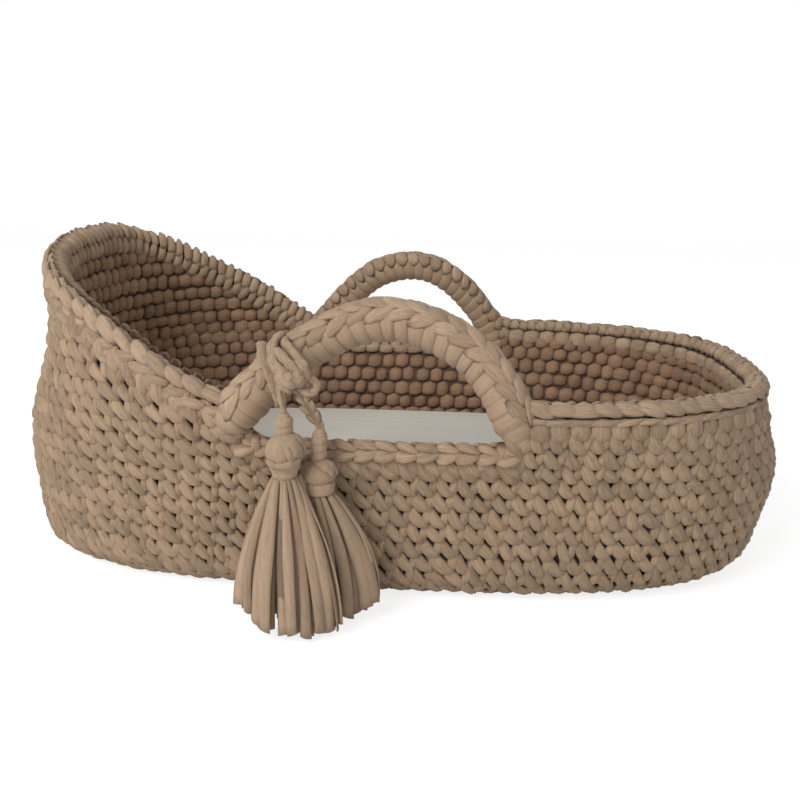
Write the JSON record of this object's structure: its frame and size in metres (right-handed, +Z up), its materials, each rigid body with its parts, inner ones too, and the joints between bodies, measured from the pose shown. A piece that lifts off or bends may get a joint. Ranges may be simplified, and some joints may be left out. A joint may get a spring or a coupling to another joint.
{
  "type": "crocheted baby basket",
  "caption": "Soft oval carrying basket for a baby, crocheted in thick yarn, with a raised head end, rope handles, a mattress and tassels.",
  "frame": {"origin": "on the floor, under the middle of the basket's length and width", "axes": "+X along the basket towards the foot end, -X towards the raised head end, -Y the side with the tassels, +Z up"},
  "size_m": [0.8, 0.5115, 0.3393],
  "materials": {
    "wall_yarn": "thick matt t-shirt yarn in crochet stitches, warm beige",
    "base_yarn": "the same yarn in flat rounds, in shade",
    "edging_yarn": "chain braid of the same yarn",
    "winding_yarn": "flat yarn wound tight, slightly smooth",
    "tassel_yarn": "cut strips and cord of the same yarn",
    "cotton_rope": "twisted natural cotton",
    "foam": "open-cell foam, matt",
    "mattress_cotton": "white woven cotton",
    "plywood": "thin sanded board",
    "zip_metal": "small bright slider"
  },
  "bodies": {
    "basket": {"base_mat": "base_yarn", "base_board": "plywood", "side_wall": "wall_yarn", "head_wall": "wall_yarn", "rim_braid_head": "edging_yarn", "rim_braid_foot": "edging_yarn", "slot_braid_near": "edging_yarn", "slot_braid_far": "edging_yarn"},
    "near_handle": {"handle_core_near": "cotton_rope", "handle_wrap_near": "winding_yarn", "handle_braid_near": "edging_yarn", "tassel_tie": "tassel_yarn"},
    "far_handle": {"handle_core_far": "cotton_rope", "handle_wrap_far": "winding_yarn", "handle_braid_far": "edging_yarn"},
    "left_cord": {"tassel_cord_left": "tassel_yarn"},
    "left_tassel": {"tassel_sleeve_left": "tassel_yarn", "tassel_ball_left": "tassel_yarn", "tassel_neck_left": "winding_yarn", "tassel_skirt_left": "tassel_yarn"},
    "right_cord": {"tassel_cord_right": "tassel_yarn"},
    "right_tassel": {"tassel_sleeve_right": "tassel_yarn", "tassel_ball_right": "tassel_yarn", "tassel_neck_right": "winding_yarn", "tassel_skirt_right": "tassel_yarn"},
    "mattress": {"mattress_cover": "mattress_cotton", "mattress_core": "foam", "cover_zip": "mattress_cotton"},
    "zip_slider": {"zip_slider": "zip_metal"}
  },
  "joints": [
    {"name": "near_handle_tilt", "type": "hinge", "parent": "basket", "child": "near_handle", "pos_m": [0, -0.21311, 0.1867], "axis": [1, 0, 0], "range_deg": [-55, 0]},
    {"name": "far_handle_tilt", "type": "hinge", "parent": "basket", "child": "far_handle", "pos_m": [0, 0.21311, 0.1867], "axis": [-1, 0, 0], "range_deg": [-55, 0]},
    {"name": "left_cord_swing", "type": "hinge", "parent": "near_handle", "child": "left_cord", "pos_m": [-0.08875, -0.23893, 0.23477], "axis": [-1, 0, 0], "range_deg": [0, 60]},
    {"name": "left_tassel_sway", "type": "hinge", "parent": "left_cord", "child": "left_tassel", "pos_m": [-0.08305, -0.25302, 0.19318], "axis": [0, 1, 0], "range_deg": [0, 40]},
    {"name": "right_cord_swing", "type": "hinge", "parent": "near_handle", "child": "right_cord", "pos_m": [-0.07788, -0.23629, 0.23476], "axis": [-1, 0, 0], "range_deg": [0, 60]},
    {"name": "right_tassel_sway", "type": "hinge", "parent": "right_cord", "child": "right_tassel", "pos_m": [-0.05505, -0.23552, 0.17418], "axis": [0, -1, 0], "range_deg": [0, 40]},
    {"name": "mattress_lift", "type": "slide", "parent": "basket", "child": "mattress", "axis": [0, 0, 1], "range_m": [0, 0.36]},
    {"name": "zip_slide", "type": "slide", "parent": "mattress", "child": "zip_slider", "axis": [-1, 0, 0], "range_m": [0, 0.384]}
  ],
  "couplings": [
    {"joint": "right_cord_swing", "follows": "left_cord_swing", "ratio": 1}
  ]
}
